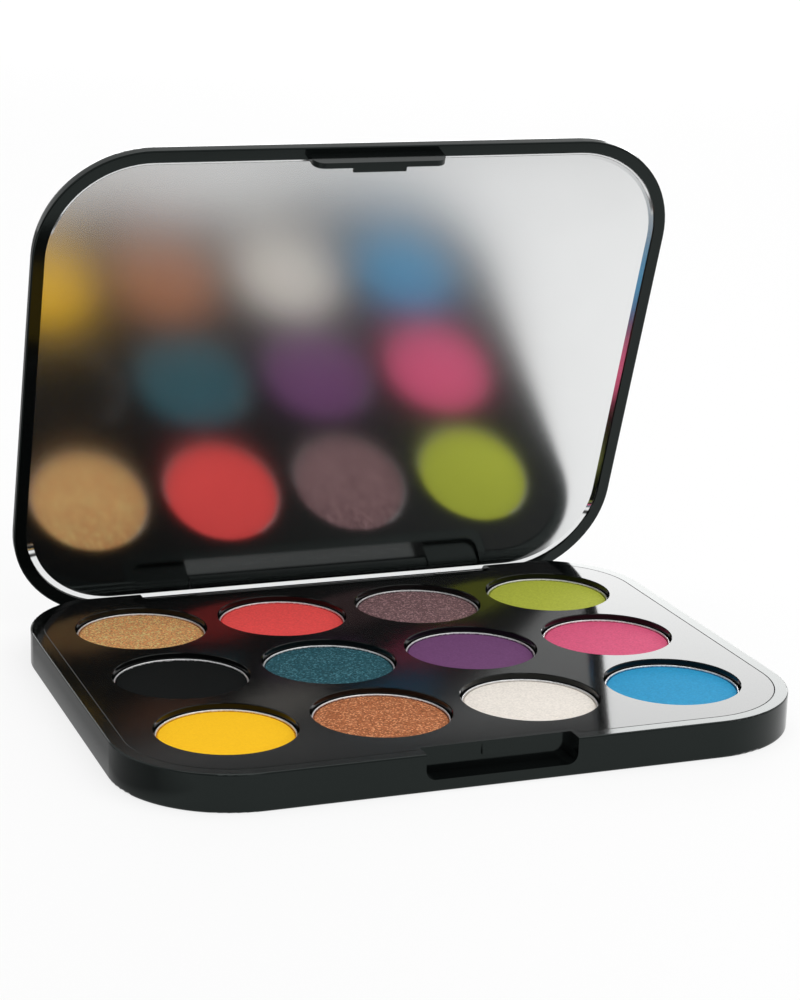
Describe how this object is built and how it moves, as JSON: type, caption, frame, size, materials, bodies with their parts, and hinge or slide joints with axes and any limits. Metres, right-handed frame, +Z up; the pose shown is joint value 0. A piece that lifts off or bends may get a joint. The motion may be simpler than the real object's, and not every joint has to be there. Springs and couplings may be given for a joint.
{
  "type": "eyeshadow palette",
  "caption": "Rounded rectangular eyeshadow palette: round pressed-powder pans in a grid, hinged lid with a full bevelled mirror and a snap latch.",
  "frame": {"origin": "centre of the case's flat bottom face", "axes": "+X to the right along the hinge, +Y towards the hinge side, +Z up; the lid stands open by 71.2 degrees"},
  "size_m": [0.134, 0.1112, 0.1058],
  "materials": {
    "case_black": "high gloss, moulded",
    "tray_black": "high gloss, moulded",
    "pan_metal": "bright, pressed sheet",
    "shade_yellow": "matte pressed powder",
    "shade_bronze": "shimmer pressed powder",
    "shade_ivory": "shimmer pressed powder",
    "shade_blue": "satin pressed powder",
    "shade_black": "matte pressed powder",
    "shade_teal": "shimmer pressed powder",
    "shade_purple": "satin pressed powder",
    "shade_pink": "satin pressed powder",
    "shade_tan": "shimmer pressed powder",
    "shade_red": "satin pressed powder",
    "shade_plum": "shimmer pressed powder",
    "shade_green": "satin pressed powder",
    "glue": "dried adhesive",
    "mirror": "bevelled mirror",
    "tape": "double-sided foam",
    "pin_steel": "drawn wire"
  },
  "bodies": {
    "base": {"base_shell": "case_black", "tray_plate": "tray_black", "pan_yellow": "pan_metal", "pan_bronze": "pan_metal", "pan_ivory": "pan_metal", "pan_blue": "pan_metal", "pan_black": "pan_metal", "pan_teal": "pan_metal", "pan_purple": "pan_metal", "pan_pink": "pan_metal", "pan_tan": "pan_metal", "pan_red": "pan_metal", "pan_plum": "pan_metal", "pan_green": "pan_metal", "powder_yellow": "shade_yellow", "powder_bronze": "shade_bronze", "powder_ivory": "shade_ivory", "powder_blue": "shade_blue", "powder_black": "shade_black", "powder_teal": "shade_teal", "powder_purple": "shade_purple", "powder_pink": "shade_pink", "powder_tan": "shade_tan", "powder_red": "shade_red", "powder_plum": "shade_plum", "powder_green": "shade_green", "pan_glue": "glue", "hinge_pin_left": "pin_steel", "hinge_pin_right": "pin_steel"},
    "lid": {"lid_shell": "case_black", "mirror": "mirror", "mirror_tape": "tape"}
  },
  "joints": [
    {"name": "lid_hinge", "type": "hinge", "parent": "base", "child": "lid", "pos_m": [0, 0.0511, 0.0045], "axis": [-1, 0, 0], "range_deg": [-71.2, 25.8]}
  ]
}
